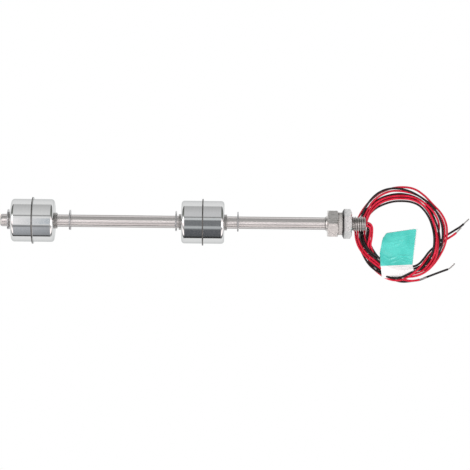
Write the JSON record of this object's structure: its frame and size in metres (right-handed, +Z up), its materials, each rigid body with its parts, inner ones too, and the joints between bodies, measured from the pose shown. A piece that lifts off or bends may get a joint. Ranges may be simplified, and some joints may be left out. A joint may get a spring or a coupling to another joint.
{
  "type": "float level switch",
  "caption": "Steel stem with sliding magnetic floats between spring clips, a hexagon fitting with a fixing thread, seal and nut, and coiled red and black leads with a folded label.",
  "frame": {"origin": "on the stem's axis at the hexagon's sealing face, where the seal and a tank wall sit", "axes": "+X along the fixing thread towards the leads, with the closed stem end at -X; +Z up, as the switch lies on a flat surface; -Y towards the side where the leads' loose ends and the label's fold lie"},
  "size_m": [0.3083, 0.0648, 0.0303],
  "materials": {
    "stem_steel": "satin drawn tube",
    "machined_steel": "turned and milled",
    "clip_steel": "bright spring steel",
    "polished_steel": "polished drawn shell",
    "magnet": "dark sintered ring",
    "seal_rubber": "matt grey",
    "strip": "glass-fibre board",
    "reed_glass": "clear",
    "resin": "cast resin",
    "red_lead": "glossy insulation",
    "black_lead": "glossy insulation",
    "coil_of_leads": "red and black insulation",
    "tinned_copper": "tinned",
    "label_film": "glossy film"
  },
  "bodies": {
    "stem_assembly": {"stem_tube": "stem_steel", "stem_end_plug": "stem_steel", "hex_fitting": "machined_steel", "seal_washer": "seal_rubber", "retaining_clip_1": "clip_steel", "retaining_clip_2": "clip_steel", "retaining_clip_3": "clip_steel", "retaining_clip_4": "clip_steel", "circuit_strip": "strip", "lower_reed_switch": "reed_glass", "upper_reed_switch": "reed_glass", "inner_lead_red_1": "red_lead", "inner_lead_black_1": "black_lead", "inner_lead_red_2": "red_lead", "inner_lead_black_2": "black_lead", "exit_potting": "resin", "lead_red_1_start": "red_lead", "lead_black_1_start": "black_lead", "lead_red_2_start": "red_lead", "lead_black_2_start": "black_lead", "lead_coil": "coil_of_leads", "lead_red_1_end": "red_lead", "lead_black_1_end": "black_lead", "lead_red_2_end": "red_lead", "lead_black_2_end": "black_lead", "bare_tip_red_1": "tinned_copper", "bare_tip_black_1": "tinned_copper", "bare_tip_red_2": "tinned_copper", "bare_tip_black_2": "tinned_copper", "label_flag": "label_film"},
    "nut": {"fixing_nut": "machined_steel"},
    "lower_magnet": {"lower_float_magnet": "magnet"},
    "lower_float": {"lower_float_tube": "polished_steel", "lower_float_bottom_shell": "polished_steel", "lower_float_top_shell": "polished_steel"},
    "upper_magnet": {"upper_float_magnet": "magnet"},
    "upper_float": {"upper_float_tube": "polished_steel", "upper_float_bottom_shell": "polished_steel", "upper_float_top_shell": "polished_steel"}
  },
  "joints": [
    {"name": "lower_float_slide", "type": "slide", "parent": "stem_assembly", "child": "lower_magnet", "axis": [1, 0, 0], "range_m": [0, 0.008]},
    {"name": "lower_float_spin", "type": "hinge", "parent": "lower_magnet", "child": "lower_float", "pos_m": [-0.1995, 0, 0.00075], "axis": [1, 0, 0], "continuous": true},
    {"name": "upper_float_slide", "type": "slide", "parent": "stem_assembly", "child": "upper_magnet", "axis": [1, 0, 0], "range_m": [-0.0013, 0.0067]},
    {"name": "upper_float_spin", "type": "hinge", "parent": "upper_magnet", "child": "upper_float", "pos_m": [-0.0884, 0, 0.00075], "axis": [1, 0, 0], "continuous": true},
    {"name": "nut_travel", "type": "slide", "parent": "stem_assembly", "child": "nut", "axis": [1, 0, 0], "range_m": [0, 0.009]}
  ]
}
